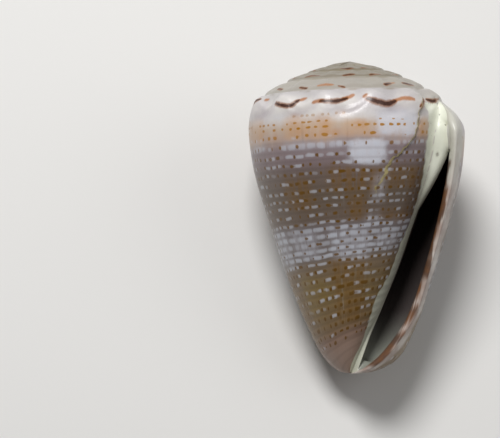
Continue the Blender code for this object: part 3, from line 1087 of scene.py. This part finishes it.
def marks_field(places, marks):
    """Return for each vertex how deep it lies in the nearest mark: 1 on its middle, 0 at its edge."""
    field = np.full(len(places), -1.0)
    for strength, half, points in marks:
        line = rounded(list(mark_points(points)))
        count = len(line) - 1
        for number, (start, end) in enumerate(zip(line, line[1:])):
            along = end - start
            step = np.clip((places - start) @ along / max(along @ along, TINY), 0.0, 1.0)
            away = np.linalg.norm(places - start - step[:, None] * along, axis=1)
            swell = np.sin(math.pi * (number + step) / count) ** MARK_TAPER
            field = np.maximum(field, strength - away / (half * (MARK_ENDS + (1 - MARK_ENDS) * swell)))
    return field


def scar_edge(depth):
    """Return the angle of the scar's ragged edge."""
    angle = read_table(depth, SCAR)
    for reach, turns, start in SCAR_WAVES:
        angle = angle + reach * np.sin(turns * depth + start)
    return angle


def raised_spot(places, spot):
    """Return a bell over a spot of the callus, given by its middle and widths."""
    right, up, wide, high = spot
    return bell(places[:, 0] - right, wide) * bell(places[:, 1] - up, high)


def crease(places):
    """Return 1 in the crease across the callus and 0 away from it."""
    across = (places[:, 0] - CREASE_THROUGH[0]) * CREASE_ACROSS[0]
    across += (places[:, 1] - CREASE_THROUGH[1]) * CREASE_ACROSS[1]
    return bell(across, CREASE_WIDTH) * bell(places[:, 0] - CREASE_MIDDLE, CREASE_LENGTH)


def vertex_normals(places, triangles):
    """Return the outward normal of each vertex."""
    first, second, third = (places[triangles[:, corner]] for corner in range(3))
    faces = np.cross(second - first, third - first)
    if np.einsum("ij,ij->", first, np.cross(second, third)) < 0:
        faces = -faces
    normals = np.zeros_like(places)
    for corner in range(3):
        np.add.at(normals, triangles[:, corner], faces)
    return normals / np.maximum(np.linalg.norm(normals, axis=1), TINY)[:, None]


def evened(places, facts, triangles):
    """Return the places with the callus and the body wall beside it run smoothly together."""
    angle, depth, _, callus, inside, rim = facts.T
    body = (inside == 0) & (rim == 0) & (angle > EVEN_ANGLES[0])
    free = np.where(callus > 0, 1.0, np.where(body, rising(angle, *EVEN_ANGLES), 0.0))
    free *= rising(depth, *EVEN_FADE_IN) * falling(depth, *EVEN_FADE_OUT) * EVEN_STRENGTH
    pairs = np.concatenate([triangles[:, [0, 1]], triangles[:, [1, 2]], triangles[:, [2, 0]]])
    pairs = np.concatenate([pairs, pairs[:, ::-1]])
    count = np.maximum(np.bincount(pairs[:, 0], minlength=len(places)), 1)[:, None]
    for _ in range(EVEN_ROUNDS):
        total = np.zeros_like(places)
        np.add.at(total, pairs[:, 0], places[pairs[:, 1]])
        places = places + free[:, None] * (total / count - places)
    return places


def newer(age, last):
    """Return 1 on the newest whorl, fading to 0 at the last age."""
    return np.sqrt(np.clip(1 - age / last, 0, 1))


def shoulder_relief(share, age):
    """Return the height of the ledges of the spire and the crest."""
    wave = np.array([tubercle(min(max(value, 0.0), LAST_AGE)) for value in age])
    spire = np.zeros(len(share))
    for height, place, width in SPIRE_LEDGES:
        spire += height * bell(share - place, width)
    crest = CREST_SHARE - CREST_SHARE_RISE * wave
    height, width = CREST_LEDGE
    last = height * bell(share - crest, width)
    height, place, width = VALLEY_DIP
    last -= height * (1 - wave) * bell(share - crest - place, width)
    last = np.where(share < 1.0, last * ease(age / CREST_START), 0.0)
    return np.where(age >= 1.0, spire * newer(age, SPIRE_LEDGE_AGES), last)


def growth_relief(angle, depth):
    """Return the height of the growth lines of the back."""
    total = np.zeros(len(angle))
    wide, turns, narrow, fast = GROWTH_WAVES
    share, offset, width = GROWTH_GROOVE
    for place, height in GROWTH_LINES:
        wave = place + wide * np.sin(turns * depth) + narrow * np.sin(fast * depth + place)
        ridge = bell(angle - wave, GROWTH_RIDGE) - share * bell(angle - wave - offset, width)
        total += height * ridge
    return total * rising(depth, *GROWTH_FADE_IN) * falling(depth, *GROWTH_FADE_OUT)


def scar_relief(angle, depth):
    """Return the height of the scar, whose younger side stands over the older one."""
    edge = scar_edge(depth)
    height = read_table(depth, SCAR_HEIGHT)
    step = centred(edge - angle, SCAR_STEP) * np.exp(-np.clip(edge - angle, 0, None) / SCAR_SPREAD)
    share, offset, width = SCAR_GROOVE
    groove = share * bell(angle - edge - offset, width)
    return height * (np.where(depth > SCAR_TOP, step, 0.0) - np.where(depth > SCAR_GROOVE_TOP, groove, 0.0))


def relief(places, facts, row, age):
    """Return how far each vertex is raised along its normal, in millimetres."""
    angle, depth, share, callus, inside, rim = facts.T
    outer = (callus == 0) & (inside == 0) & (rim == 0)
    side = outer & (share >= 1.0)
    ribs = (RIB_HEIGHT + RIB_GAIN * rising(row, *RIB_GAIN_FADE)) * np.cos(2 * math.pi * row)
    total = np.where(side, ribs * rising(row, *RIB_FADE_IN) * falling(row, *RIB_FADE_OUT), 0.0)
    grooves = RAMP_GROOVE_HEIGHT * np.cos(2 * math.pi * RAMP_GROOVES * share / RAMP_SPLIT)
    total += np.where(outer & (share < RAMP_SPLIT), grooves * newer(age, RAMP_GROOVE_AGES), 0.0)
    total += np.where(outer, shoulder_relief(share, age), 0.0)
    total += np.where(side, growth_relief(angle, depth), 0.0)
    total += np.where(outer & (age < 1.0), scar_relief(angle, depth), 0.0)
    pad = LUMP_HEIGHT * raised_spot(places, LUMP) - CREASE_DEPTH * crease(places)
    return total + np.where(callus > 0, pad, 0.0)


def brown_margin(depth, inside, rim):
    """Return how brown the lip is at its edge and just inside the mouth."""
    brown = np.zeros(len(depth))
    swing, turns = LIP_BROWN_WAVE
    back, soft = LIP_BROWN_REACH
    for top, bottom, reach in LIP_BROWN:
        reach = reach + swing * np.sin(turns * depth + top)
        band = centred(depth - top, LIP_BROWN_SOFT) * centred(bottom - depth, LIP_BROWN_SOFT)
        brown = np.maximum(brown, band * centred(rim - reach + back, soft))
        brown = np.maximum(brown, band * falling(inside, *LIP_BROWN_INSIDE) * (inside > 0))
    return np.where((rim > 0) | (inside > 0), brown, 0.0)


def make_fields(places, facts, row, age):
    """Return the values that the material reads at each vertex, by name."""
    angle, depth, share, callus, inside, rim = facts.T
    outer = (callus == 0) & (inside == 0) & (rim == 0)
    last = outer & (age < 1.0)
    side = last & (share >= RAMP_SPLIT)
    orange = patches(angle, depth, ORANGE_PATCHES, CRISP)
    snow = patches(angle, depth, SNOW_PATCHES, SOFT)
    tan = patches(angle, depth, TAN_PATCHES, SOFT)
    whites = read_table(row, WHITE_BY_ROW) + SNOW_WHITES * snow - TAN_WHITES * tan
    dots = read_table(row, DOTS_BY_ROW) * (1 - SNOW_DOTS * snow) + TAN_DOTS * tan
    wave = np.array([tubercle(min(max(value, 0.0), LAST_AGE)) for value in age])
    swing, turns = CALLUS_WAVE
    edge = read_table(depth, CALLUS_EDGE) + swing * np.sin(turns * depth)
    front = last & (depth > CALLUS_TOP) & (angle > CALLUS_FRONT)
    glaze = np.where(front, centred(angle - edge, CALLUS_SOFT), 0.0)
    scar = bell(angle - scar_edge(depth), SCAR_LINE_WIDTH)
    scar *= np.clip(read_table(depth, SCAR_HEIGHT) / SCAR_LINE_HEIGHT, 0, 1)
    ink = np.full(len(places), -1.0)
    ember = np.full(len(places), -1.0)
    marked = outer & (depth < MARKS_LOWEST)
    ink[marked] = marks_field(places[marked], STROKES)
    ember[marked] = marks_field(places[marked], EMBERS)
    end, width = LIP_PALE
    swing, turns = LIP_PALE_WAVE
    pale = falling(360 * age - swing * np.sin(turns * depth), end, width)
    fields = {
        "row": np.where(side, row, NO_ROW),
        "lip_brown": brown_margin(depth, inside, rim),
        "ink": ink,
        "ember": ember,
        "glaze": np.where(callus > 0, 1.0, glaze),
    }
    everywhere = {"angle": angle, "depth": depth, "share": share, "age": age, "rim": rim, "inside": inside}
    on_side = {
        "whites": np.clip(whites, 0, 1),
        "dots": np.clip(dots, 0, 1),
        "tan": tan,
        "snow": snow,
        "orange": orange,
        "milk": patches(angle, depth, MILK_PATCHES, SOFT),
        "peach": patches(angle, depth, PEACH_PATCHES, SOFT),
        "olive": patches(angle, depth, OLIVE_PATCHES, SOFT),
    }
    on_last = {
        # painted shade in the valleys between tubercles, just under the shoulder's crest
        "valley_shade": (1 - wave) * bell(share - VALLEY_SHADE_SHARE, VALLEY_SHADE_WIDTH),
        "seam": np.where(depth > SCAR_LINE_TOP, scar, 0.0),
        "lip_pale": pale,
    }
    on_callus = {
        # where the painted highlight on the callus lump lies
        "lump_highlight": raised_spot(places, LUMP_HIGHLIGHT),
        # where the painted shade in the callus crease lies
        "crease": crease(places),
        "pit": raised_spot(places, PIT),
    }
    fields.update(everywhere)
    for area, named in ((side, on_side), (last, on_last), (callus > 0, on_callus)):
        for name, values in named.items():
            fields[name] = np.where(area, values, 0.0)
    return fields


def make_shell():
    """Build the shell's object and return it with the move from its own frame."""
    shell = build_shell()
    places = np.array([place[:] for place in shell.vertices])
    triangles = np.array(shell.triangles)
    facts = np.array(shell.facts)
    age = np.array([(angle - lip_angle(depth)) / 360 for angle, depth in facts[:, :2]])
    row = row_numbers(facts[:, 0], facts[:, 1])
    fields = make_fields(places, facts, row, age)
    places = evened(places, facts, triangles)
    normals = vertex_normals(places, triangles)
    places = places + normals * relief(places, facts, row, age)[:, None]
    laid, move = lay_down([Vector(place) for place in places])
    data = bpy.data.meshes.new("shell_surface")
    data.from_pydata(laid, [], shell.triangles)
    for name, values in fields.items():
        layer = data.attributes.new(name, "FLOAT", "POINT")
        layer.data.foreach_set("value", np.ascontiguousarray(values, dtype=np.float32))
    data.shade_smooth()
    piece = bpy.data.objects.new("shell_surface", data)
    bpy.context.scene.collection.objects.link(piece)
    return piece, move


def paint(red, green, blue):
    """Return a screen colour of 0 to 255 as the shader wants it."""
    channels = []
    for value in (red, green, blue):
        share = value / 255
        if share <= SCREEN_FOOT:
            channels.append(share / SCREEN_SLOPE)
        else:
            channels.append(((share + SCREEN_OFFSET) / (1 + SCREEN_OFFSET)) ** SCREEN_POWER)
    return (*channels, 1.0)


def tone(name):
    """Return a colour of the table of tints."""
    return paint(*TINTS[name][:3])


class Nodes:
    """Short calls that add the nodes of one material."""

    def __init__(self, material):
        self.tree = material.node_tree

    def feed(self, socket, value):
        """Link a socket to this input, or set the input to a plain value."""
        if isinstance(value, bpy.types.NodeSocket):
            self.tree.links.new(value, socket)
        else:
            socket.default_value = value

    def read(self, name):
        """Return a value kept at the vertices."""
        node = self.tree.nodes.new("ShaderNodeAttribute")
        node.attribute_name = name
        return node.outputs["Fac"]

    def math(self, operation, first, second=0.0):
        """Return the result of one sum."""
        node = self.tree.nodes.new("ShaderNodeMath")
        node.operation = operation
        self.feed(node.inputs[0], first)
        self.feed(node.inputs[1], second)
        return node.outputs[0]

    def times(self, first, *others):
        """Return the product of all values."""
        for other in others:
            first = self.math("MULTIPLY", first, other)
        return first

    def plus(self, first, *others):
        """Return the sum of all values."""
        for other in others:
            first = self.math("ADD", first, other)
        return first

    def scaled(self, value, start, gain):
        """Return start plus gain times the value."""
        return self.plus(start, self.times(value, gain))

    def step(self, value, name):
        """Return the eased step that the table of steps holds under this name."""
        low, high, *results = STEPS[name]
        start, end = results or (0.0, 1.0)
        node = self.tree.nodes.new("ShaderNodeMapRange")
        node.interpolation_type = "SMOOTHSTEP"
        for socket, number in zip(node.inputs, (value, low, high, start, end)):
            self.feed(socket, number)
        return node.outputs[0]

    def mix(self, share, first, second):
        """Return a colour between two."""
        node = self.tree.nodes.new("ShaderNodeMix")
        node.data_type = "RGBA"
        self.feed(node.inputs[0], share)
        self.feed(node.inputs[MIX_FIRST], first)
        self.feed(node.inputs[MIX_SECOND], second)
        return node.outputs[MIX_RESULT]

    def lay(self, under, name, *shares):
        """Return the colour with a tint laid over it, as strongly as its strength and the shares say."""
        return self.mix(self.times(*shares, TINTS[name][3]), under, tone(name))

    def vector(self, x, y, z):
        """Return a vector of three values."""
        node = self.tree.nodes.new("ShaderNodeCombineXYZ")
        for socket, value in zip(node.inputs, (x, y, z)):
            self.feed(socket, value)
        return node.outputs[0]

    def noise(self, vector, scale, detail, roughness):
        """Return smooth noise round 0.5."""
        node = self.tree.nodes.new("ShaderNodeTexNoise")
        self.feed(node.inputs["Vector"], vector)
        node.inputs["Scale"].default_value = scale
        node.inputs["Detail"].default_value = detail
        node.inputs["Roughness"].default_value = roughness
        return node.outputs[0]

    def flow(self, name, first, second):
        """Return smooth noise over two values, stretched as the table of flows says."""
        wide, high, seed, detail, roughness = FLOWS[name]
        place = self.vector(self.times(first, wide), self.times(second, high), seed)
        return self.noise(place, 1.0, detail, roughness)

    def swing(self, noise, reach):
        """Return noise that swings round 0, over this reach."""
        return self.times(self.plus(noise, -0.5), reach)

    def chances(self, vector):
        """Return three random numbers for each whole place."""
        node = self.tree.nodes.new("ShaderNodeTexWhiteNoise")
        self.feed(node.inputs["Vector"], vector)
        split = self.tree.nodes.new("ShaderNodeSeparateColor")
        self.tree.links.new(node.outputs["Color"], split.inputs[0])
        return split.outputs

    def ramp(self, value, stops):
        """Return the colour at this value on a ramp of (place, colour) stops."""
        node = self.tree.nodes.new("ShaderNodeValToRGB")
        elements = node.color_ramp.elements
        while len(elements) < len(stops):
            elements.new(0.5)
        for element, (place, colour) in zip(elements, stops):
            element.position = place
            element.color = colour
        self.feed(node.inputs[0], value)
        return node.outputs[0]


class Surface(Nodes):
    """The nodes of the shell's material, with the values that most of them read."""

    def __init__(self, material):
        super().__init__(material)
        self.angle = self.read("angle")
        self.row = self.read("row")
        self.depth = self.read("depth")
        self.spot = self.tree.nodes.new("ShaderNodeTexCoord").outputs["Object"]
        self.cloud = self.over("cloud")
        self.streak = self.flow("streak", self.angle, self.depth)

    def over(self, name):
        """Return one of the noises over the surface."""
        return self.noise(self.spot, *NOISES[name])

    def clouded(self, name, pale):
        """Return a colour that drifts from one tint to a paler one."""
        return self.mix(self.step(self.cloud, name), tone(name), tone(pale))


def row_cells(n):
    """Return the line of each row, the cells along it, the place in a cell and the way across a row."""
    line = n.math("ROUND", n.row)
    grey = []
    for place, period in PERIOD_BY_ROW:
        level = period / PERIOD_TOP
        grey.append((place / ROW_RANGE, (level, level, level, 1.0)))
    period = n.times(n.ramp(n.math("DIVIDE", line, ROW_RANGE), grey), PERIOD_TOP)
    slide = n.times(n.flow("slide", n.angle, line), SLIDE)
    wander = n.times(n.flow("wander", n.angle, line), WANDER)
    offset = n.chances(n.vector(line, *OFFSET_SEED))[0]
    phase = n.plus(n.math("DIVIDE", n.angle, period), slide, wander, offset)
    lean = n.swing(n.flow("lean", n.angle, line), LEAN_SWING)
    across = n.plus(n.math("SUBTRACT", n.row, line), lean)
    return line, n.math("FLOOR", phase), n.math("FRACT", phase), across


def row_patterns(n):
    """Return where the brown dots and the white bars lie, and the jitter of each cell."""
    line, cell, place, across = row_cells(n)
    one, two, three = n.chances(n.vector(cell, line, DOT_SEED))
    four, five, six = n.chances(n.vector(cell, line, BAR_SEED))
    orange = n.read("orange")
    centre = n.scaled(one, *DOT_PLACE)
    size = n.plus(n.step(n.row, "dot length"), n.times(n.read("tan"), DOT_TAN), n.times(orange, DOT_ORANGE))
    along = n.math("DIVIDE", n.math("SUBTRACT", place, centre), n.times(size, n.scaled(two, *DOT_SIZES)))
    up = n.math("DIVIDE", across, n.step(n.row, "dot height"))
    away = n.math("SQRT", n.plus(n.times(along, along), n.times(up, up)))
    there = n.step(n.math("SUBTRACT", n.math("MAXIMUM", n.read("dots"), orange), three), "dot chance")
    dot = n.times(n.step(away, "dot edge"), there)
    whites = n.read("whites")
    reach = n.times(n.scaled(whites, *BAR_REACH), n.scaled(four, *BAR_SIZES))
    shifted = n.plus(place, n.times(five, -BAR_SHIFT), -BAR_PLACE)
    along = n.math("DIVIDE", n.math("ABSOLUTE", shifted), reach)
    height = n.scaled(n.step(whites, "bar height"), *BAR_HEIGHT)
    up = n.math("DIVIDE", n.math("ABSOLUTE", across), height)
    away = n.plus(n.math("POWER", along, BAR_POWERS[0]), n.math("POWER", up, BAR_POWERS[1]))
    there = n.step(n.math("SUBTRACT", n.scaled(whites, *BAR_CHANCE), six), "bar chance")
    bar = n.times(n.step(away, "bar edge"), there, n.step(whites, "bar patch"), n.step(four, "bar strength"))
    return dot, bar, three


def side_colour(n):
    """Return the colour of the side, and where its white bars lie."""
    stops = [(place / ROW_RANGE, paint(*colour)) for place, colour in GROUND_BY_ROW]
    bent = n.plus(n.row, n.swing(n.streak, BAND_SWING))
    top = n.ramp(n.math("DIVIDE", bent, ROW_RANGE), stops)
    puff = n.swing(n.over("puff"), PUFF_SWING)
    peach = n.read("peach")
    top = n.lay(top, "peach", peach, n.step(n.plus(peach, puff), "peach"))
    top = n.lay(top, "orange", n.read("orange"), n.step(n.plus(n.cloud, puff), "orange"))
    top = n.lay(top, "olive", n.read("olive"), n.step(n.cloud, "olive"))
    top = n.lay(top, "tan", n.read("tan"), n.step(n.streak, "tan"))
    top = n.lay(top, "snow", n.read("snow"), n.step(n.streak, "snow"))
    milk = n.read("milk")
    broken = n.step(n.plus(milk, n.times(puff, MILK_PUFF)), "milk")
    top = n.lay(top, "milk", broken, n.step(milk, "milk patch"))
    top = n.lay(top, "dark streak", n.step(n.streak, "dark streak"))
    top = n.lay(top, "pale streak", n.step(n.streak, "pale streak"))
    gap = n.math("ABSOLUTE", n.math("SUBTRACT", n.row, n.math("ROUND", n.row)))
    top = n.lay(top, "gap", n.step(gap, "gap"), n.step(n.row, "gap rows"))
    dot, bar, chance = row_patterns(n)
    top = n.lay(top, "bar", bar, n.step(n.row, "bar rows"))
    dye = n.mix(n.step(n.row, "dot rows"), tone("upper dot"), tone("lower dot"))
    return n.mix(n.times(dot, n.scaled(chance, *DOT_STRENGTH)), top, dye), bar


def shoulder_colour(n, side):
    """Return the side's colour with the cream shoulder and spire above it, the painted shade along their
    seams and in the valleys between tubercles, and their brown marks.
    """
    age = n.read("age")
    share = n.read("share")
    cream = n.mix(n.step(n.cloud, "cream"), tone("cool cream"), tone("warm cream"))
    cream = n.lay(cream, "spire", n.step(age, "spire"))
    cream = n.lay(cream, "apex", n.step(age, "apex"))
    # painted shade along the seam above the last whorl
    cream = n.lay(cream, "ramp seam shade", n.step(share, "ramp seam shade"), n.step(age, "ramp seam shade ages"))
    # painted shade in the valleys between tubercles
    cream = n.lay(cream, "valley_shade", n.read("valley_shade"))
    # painted shade along the seams between whorls, broken up by noise
    line = n.times(n.step(share, "seam shade line"), n.step(n.over("seam"), "broken seam shade"))
    cream = n.lay(cream, "seam shade line", line, n.step(n.row, "seam shade rows"))
    top = n.mix(n.step(n.row, "shoulder"), cream, side)
    fray = n.swing(n.over("fray"), FRAY_SWING)
    ink = n.plus(n.read("ink"), fray)
    top = n.lay(top, "ember", n.step(n.plus(n.read("ember"), fray), "ember"))
    top = n.lay(top, "ink edge", n.step(ink, "ink edge"))
    return n.lay(top, "ink", n.step(ink, "ink"))


def mouth_colour(n, top):
    """Return the colour with the scar, the callus with its painted highlight and shade, the lip and the
    inside with its painted shade laid over it.
    """
    seam = n.read("seam")
    top = n.lay(top, "scar", n.step(seam, "scar"))
    pits = n.step(n.flow("pits", n.angle, n.depth), "scar pits")
    top = n.lay(top, "scar pit", n.step(seam, "scar middle"), pits, n.step(n.depth, "scar depths"))
    callus = n.clouded("callus", "pale callus")
    callus = n.lay(callus, "green callus", n.step(n.cloud, "green callus"))
    # painted highlight on the callus lump, then painted shade in its crease
    callus = n.lay(callus, "lump_highlight", n.read("lump_highlight"))
    callus = n.lay(callus, "crease", n.read("crease"))
    callus = n.lay(callus, "speck", n.step(n.over("specks"), "specks"), n.step(n.depth, "speck depths"))
    callus = n.lay(callus, "low callus", n.step(n.depth, "low callus"))
    top = n.mix(n.read("glaze"), top, callus)
    top = n.lay(top, "pit", n.read("pit"))
    lip = n.lay(n.clouded("lip", "pale lip"), "upper lip", n.step(n.depth, "upper lip"))
    pale = n.times(n.read("lip_pale"), LIP_PALE_STRENGTH)
    top = n.mix(n.math("MAXIMUM", n.step(n.read("rim"), "rim"), pale), top, lip)
    brown = n.clouded("lip brown", "lip dark")
    top = n.mix(n.times(n.read("lip_brown"), LIP_BROWN_STRENGTH), top, brown)
    # inside of the mouth: its own grey with painted shade, darker deeper in
    stops = [(place, paint(*colour)) for place, colour in HOLLOW_SHADE]
    hollow_shade = n.ramp(n.math("DIVIDE", n.depth, LENGTH), stops)
    return n.mix(n.step(n.read("inside"), "inside"), top, hollow_shade)


def shell_material():
    """Return the glossy porcelain of the shell."""
    material = bpy.data.materials.new("shell_porcelain")
    material.use_nodes = True
    n = Surface(material)
    surface = material.node_tree.nodes["Principled BSDF"]
    side, bar = side_colour(n)
    n.feed(surface.inputs["Base Color"], mouth_colour(n, shoulder_colour(n, side)))
    n.feed(surface.inputs["Roughness"], n.scaled(n.over("gloss"), *ROUGHNESS))
    surface.inputs["IOR"].default_value = REFRACTION
    surface.inputs["Specular IOR Level"].default_value = SPECULAR
    surface.inputs["Coat Weight"].default_value = COAT
    surface.inputs["Coat Roughness"].default_value = COAT_ROUGHNESS
    grain = n.times(n.flow("grain", n.angle, n.depth), GRAIN_HEIGHT)
    hammer = n.times(n.over("hammer"), n.step(n.depth, "hammer"))
    bump = material.node_tree.nodes.new("ShaderNodeBump")
    bump.inputs["Strength"].default_value = BUMP_STRENGTH
    bump.inputs["Distance"].default_value = BUMP_DISTANCE
    n.feed(bump.inputs["Height"], n.plus(grain, hammer, n.times(bar, BAR_RELIEF)))
    n.feed(surface.inputs["Normal"], bump.outputs["Normal"])
    return material


def make_floor():
    """Lay the plain pale floor."""
    half = FLOOR_HALF
    corners = [(-half, -half, 0), (half, -half, 0), (half, half, 0), (-half, half, 0)]
    data = bpy.data.meshes.new("floor")
    data.from_pydata(corners, [], [(0, 1, 2, 3)])
    floor = bpy.data.objects.new("floor", data)
    material = bpy.data.materials.new("floor_pale")
    material.use_nodes = True
    surface = material.node_tree.nodes["Principled BSDF"]
    surface.inputs["Base Color"].default_value = FLOOR_COLOUR
    surface.inputs["Roughness"].default_value = FLOOR_ROUGHNESS
    data.materials.append(material)
    bpy.context.scene.collection.objects.link(floor)


def make_lights(move):
    """Light the shell softly from the spire's side."""
    world = bpy.data.worlds.new("studio")
    world.use_nodes = True
    background = world.node_tree.nodes["Background"]
    background.inputs["Color"].default_value = SKY_COLOUR
    background.inputs["Strength"].default_value = SKY_STRENGTH
    bpy.context.scene.world = world
    target = move @ Vector(LAMP_TARGET)
    for name, place, size, power in LAMPS:
        data = bpy.data.lights.new(name, "AREA")
        data.shape = "DISK"
        data.size = size
        data.energy = power
        lamp = bpy.data.objects.new(name, data)
        lamp.location = move @ Vector(place)
        lamp.rotation_euler = (target - lamp.location).to_track_quat("-Z", "Y").to_euler()
        bpy.context.scene.collection.objects.link(lamp)


def make_camera(move):
    """Set the camera where the photograph was taken from."""
    data = bpy.data.cameras.new("camera")
    data.lens = LENS
    data.sensor_width = SENSOR
    data.clip_start = CLIP_START
    data.clip_end = CLIP_END
    camera = bpy.data.objects.new("camera", data)
    camera.location = move @ Vector(EYE)
    camera.rotation_mode = "QUATERNION"
    camera.rotation_quaternion = (Matrix.Scale(1 / MM, 4) @ move).to_quaternion()
    bpy.context.scene.collection.objects.link(camera)
    bpy.context.scene.camera = camera


def main():
    """Build the scene."""
    piece, move = make_shell()
    piece.data.materials.append(shell_material())
    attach(piece, "root")
    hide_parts("cone_shell")
    make_floor()
    make_lights(move)
    make_camera(move)
    bpy.context.scene.view_settings.view_transform = "Standard"


main()
